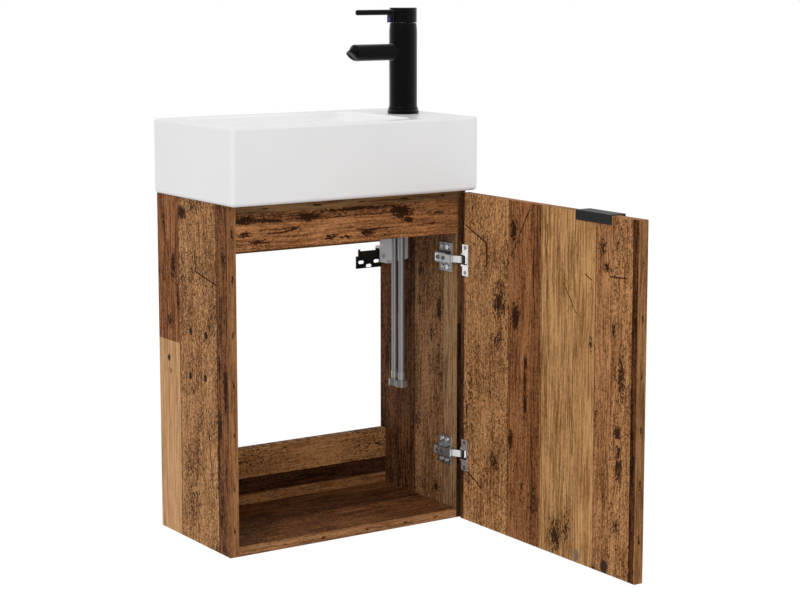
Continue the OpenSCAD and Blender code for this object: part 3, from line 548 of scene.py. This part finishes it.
def arm_shaded_nickel(name, height):
    """bright along the middle, with painted shade darkening the folded sides and the inner end"""
    g = Net(name)
    xyz = g.sep(g.place())
    side = g.span(g.math("ABSOLUTE", g.math("SUBTRACT", xyz[2], height)), 0.0056, 0.0066)
    end = g.span(xyz[1], row_y(36.0), row_y(33.0), 0.0, 0.7)
    # painted shade on the folded sides and at the inner end
    arm_shade = g.math("MAXIMUM", side, end)
    g.set(Base_Color=g.mix(arm_shade, rgb(240, 240, 241), rgb(120, 121, 124)), Roughness=0.24, Metallic=0.7)
    return g.mat


def link_finish():
    """bright outside the cup, dark in its shade"""
    g = Net("hinge_link")
    inside = g.span(g.sep(g.place())[0], DOOR_IN - 0.0008, DOOR_IN + 0.0010)
    g.set(Base_Color=g.mix(inside, rgb(238, 238, 239), rgb(18, 17, 17)), Roughness=0.22,
          Metallic=g.span(inside, 0.0, 1.0, 0.7, 0.0))
    return g.mat


link_bright = link_finish()
arm_high = arm_shaded_nickel("hinge_arm_high", row_z(HINGE_HIGH))
arm_low = arm_shaded_nickel("hinge_arm_low", row_z(HINGE_LOW))

finish = {
    ceramic: ["basin"],
    black: ["tap_body", "tap_cap", "tap_lever"],
    seal: ["tap_gasket"],
    cartridge: ["tap_cartridge", "tap_spindle"],
    zinc: ["cam_locks", "cam_bolts", "tap_lift_pin", "tap_stem", "tap_grub_screw", "tap_washer",
           "hose_front_tail", "hose_rear_tail", "hanger_hook_left", "hanger_hook_right",
           "hanger_screws", "hanger_adjusters"],
    ferrule: ["hose_front_ferrule", "hose_rear_ferrule"],
    blue: ["tap_indicator"],
    dark_grey: ["tap_aerator"],
    brass: ["tap_stud", "tap_nut"],
    nut_dark: ["hose_front_nut", "hose_rear_nut"],
    handle_black: ["door_handle", "handle_screws"],
    arm_high: ["hinge_arm_upper"],
    arm_low: ["hinge_arm_lower"],
    link_bright: ["hinge_link_upper", "hinge_link_lower"],
    nickel: ["hinge_pins", "hinge_plate_screws", "hinge_cup_upper", "hinge_cup_lower"],
    nickel_dull: ["hinge_plate_upper", "hinge_plate_lower", "hinge_cup_screws"],
    plate_black: ["wall_plate_left", "wall_plate_right"],
    box_grey: ["hanger_box_left", "hanger_box_right"],
    screw_dark: ["hinge_arm_screws"],
}
for material, names in finish.items():
    for n in names:
        nodes[n].data.materials.clear()
        nodes[n].data.materials.append(material)

# the plates' front faces take the bright nickel as a painted highlight, their other faces the duller grey
for n in ("hinge_plate_upper", "hinge_plate_lower"):
    paint(n, [(front, nickel), (None, nickel_dull)])

# the bowl inside the rim is painted lighter, painted light against the shade in it, and the wall plates'
# upward faces are painted grey, a painted reflection
data = nodes["basin"].data
data.materials.append(bowl_painted_light)
rim = max(v.co.z for v in data.vertices)
for face in data.polygons:
    c = face.center
    inside = BOWL_X[0] < c.x < BOWL_X[1] and BOWL_Y[0] < c.y < BOWL_Y[1]
    if inside and rim - BOWL_LOW < c.z < rim - BOWL_TOP:
        face.material_index = 1
# the plates' upward faces take the lighter grey, a painted reflection
for n in ("wall_plate_left", "wall_plate_right"):
    data = nodes[n].data
    data.materials.append(plate_painted_reflection)
    for face in data.polygons:
        if face.normal.z > 0.5:
            face.material_index = 1

# the cups' insides are painted near black, as painted shade
for n in ("hinge_cup_upper", "hinge_cup_lower"):
    data = nodes[n].data
    data.materials.append(cup_painted_shade)
    inner = max(v.co.x for v in data.vertices) - CUP_SHADE_DEPTH
    for face in data.polygons:
        if face.center.x > inner:
            face.material_index = 1


# ---------------------------------------------------------------- supply hoses
BRAID_ALONG, BRAID_ROUND = 900.0, 50.3


def braid():
    g = Net("hose_braid")
    uv = g.sep(g.tree.nodes.new("ShaderNodeTexCoord").outputs["UV"])
    a = g.math("SINE", g.math("ADD", g.math("MULTIPLY", uv[0], BRAID_ALONG),
                              g.math("MULTIPLY", uv[1], BRAID_ROUND)))
    b = g.math("SINE", g.math("SUBTRACT", g.math("MULTIPLY", uv[0], BRAID_ALONG),
                              g.math("MULTIPLY", uv[1], BRAID_ROUND)))
    weave = g.math("MULTIPLY_ADD", g.math("MULTIPLY", a, b), 0.5, 0.5)
    g.bump(weave, 0.06, 0.0003)
    g.set(Base_Color=g.mix(weave, rgb(146, 146, 148), rgb(154, 155, 157)), Roughness=0.4, Metallic=0.75)
    return g.mat


hose_mat = braid()


def hose(name, side, dx, dy, body, node):
    """a hose that starts side mm behind the tap's axis and drifts by dx and dy on the way down"""
    tap_x, tap_y = TAP_X - 1, TAP_Y + side
    points = [(0.0, 0.0, HOSE_TOP), (0.0, 0.0, HOSE_STRAIGHT)]
    for i in range(25):
        t = i / 24
        k = (1 - math.cos(math.pi * t)) / 2
        points.append((dx * k, dy * k, DRIFT_TOP - (DRIFT_TOP - DRIFT_LOW) * t))
    points += [(dx, dy, height) for height in (410.0, 340.0, 280.0, HOSE_END)]
    line = [((tap_x + p[0]) / 1000, (tap_y + p[1]) / 1000, row_z(p[2])) for p in points]
    curve = bpy.data.curves.new(name, "CURVE")
    curve.dimensions = "3D"
    curve.bevel_depth = 0.005
    curve.bevel_resolution = 6
    curve.use_fill_caps = True
    s = curve.splines.new("POLY")
    s.points.add(len(line) - 1)
    for p, c in zip(s.points, line):
        p.co = (*c, 1.0)
    o = bpy.data.objects.new(name, curve)
    scene.collection.objects.link(o)
    curve.materials.append(hose_mat)
    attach(o, body)
    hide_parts(node)


hose("hose_front_braid", -6, -5, 1.6, "cabinet", "hose_front_tube")
hose("hose_rear_braid", 6, -5, 9.6, "cabinet", "hose_rear_tube")

# ---------------------------------------------------------------- smooth shading
for o in nodes.values():
    mesh = o.data
    mesh.shade_smooth()
    if hasattr(mesh, "set_sharp_from_angle"):
        mesh.set_sharp_from_angle(angle=math.radians(32))

# ---------------------------------------------------------------- floor, world and lamps
mesh = bpy.data.meshes.new("floor")
mesh.from_pydata([(-6, -6, 0), (6, -6, 0), (6, 6, 0), (-6, 6, 0)], [], [(0, 1, 2, 3)])
ground = bpy.data.objects.new("floor", mesh)
ground.location = (0, 0, FLOOR_Z)
scene.collection.objects.link(ground)
g = Net("floor_pale")
g.set(Base_Color=rgb(236, 236, 236), Roughness=0.9)
rays = g.tree.nodes.new("ShaderNodeLightPath")
seen = g.math("ADD", rays.outputs["Is Camera Ray"],
              g.math("ADD", rays.outputs["Is Glossy Ray"], rays.outputs["Is Transmission Ray"]), clamp=True)
glow = g.tree.nodes.new("ShaderNodeEmission")
glow.inputs["Color"].default_value = (1, 1, 1, 1)
glow.inputs["Strength"].default_value = FLOOR_GLOW
blend = g.tree.nodes.new("ShaderNodeMixShader")
g.tree.links.new(g.math("MULTIPLY", seen, FLOOR_SHARE), blend.inputs[0])
g.tree.links.new(g.shader.outputs[0], blend.inputs[1])
g.tree.links.new(glow.outputs[0], blend.inputs[2])
g.tree.links.new(blend.outputs[0], g.out.inputs[0])
mesh.materials.append(g.mat)

# the world lights with the first background and shows the second one, white
world = bpy.data.worlds.new("studio")
scene.world = world
world.use_nodes = True
t = world.node_tree
t.nodes.clear()
out = t.nodes.new("ShaderNodeOutputWorld")
light = t.nodes.new("ShaderNodeBackground")
light.inputs["Color"].default_value = (1, 1, 1, 1)
light.inputs["Strength"].default_value = WORLD_LIGHT
white = t.nodes.new("ShaderNodeBackground")
white.inputs["Color"].default_value = (1, 1, 1, 1)
white.inputs["Strength"].default_value = WORLD_WHITE
rays = t.nodes.new("ShaderNodeLightPath")
add1 = t.nodes.new("ShaderNodeMath")
add1.operation = "ADD"
add2 = t.nodes.new("ShaderNodeMath")
add2.operation = "ADD"
add2.use_clamp = True
t.links.new(rays.outputs["Is Camera Ray"], add1.inputs[0])
t.links.new(rays.outputs["Is Glossy Ray"], add1.inputs[1])
t.links.new(add1.outputs[0], add2.inputs[0])
t.links.new(rays.outputs["Is Transmission Ray"], add2.inputs[1])
mixer = t.nodes.new("ShaderNodeMixShader")
t.links.new(add2.outputs[0], mixer.inputs[0])
t.links.new(light.outputs[0], mixer.inputs[1])
t.links.new(white.outputs[0], mixer.inputs[2])
t.links.new(mixer.outputs[0], out.inputs[0])


def lamp(name, place, aim, size, power):
    d = bpy.data.lights.new(name, "AREA")
    d.shape = "RECTANGLE"
    d.size, d.size_y = size
    d.energy = power
    o = bpy.data.objects.new(name, d)
    scene.collection.objects.link(o)
    o.location = place
    o.rotation_mode = "QUATERNION"
    o.rotation_quaternion = (Vector(aim) - Vector(place)).to_track_quat("-Z", "Y")


lamp("key", (-2.3, -1.7, 2.1), (0, -0.2, 0.0), (1.8, 1.8), 34)
lamp("fill", (1.6, -2.6, 1.2), (0, -0.2, 0.0), (2.0, 2.0), 9)
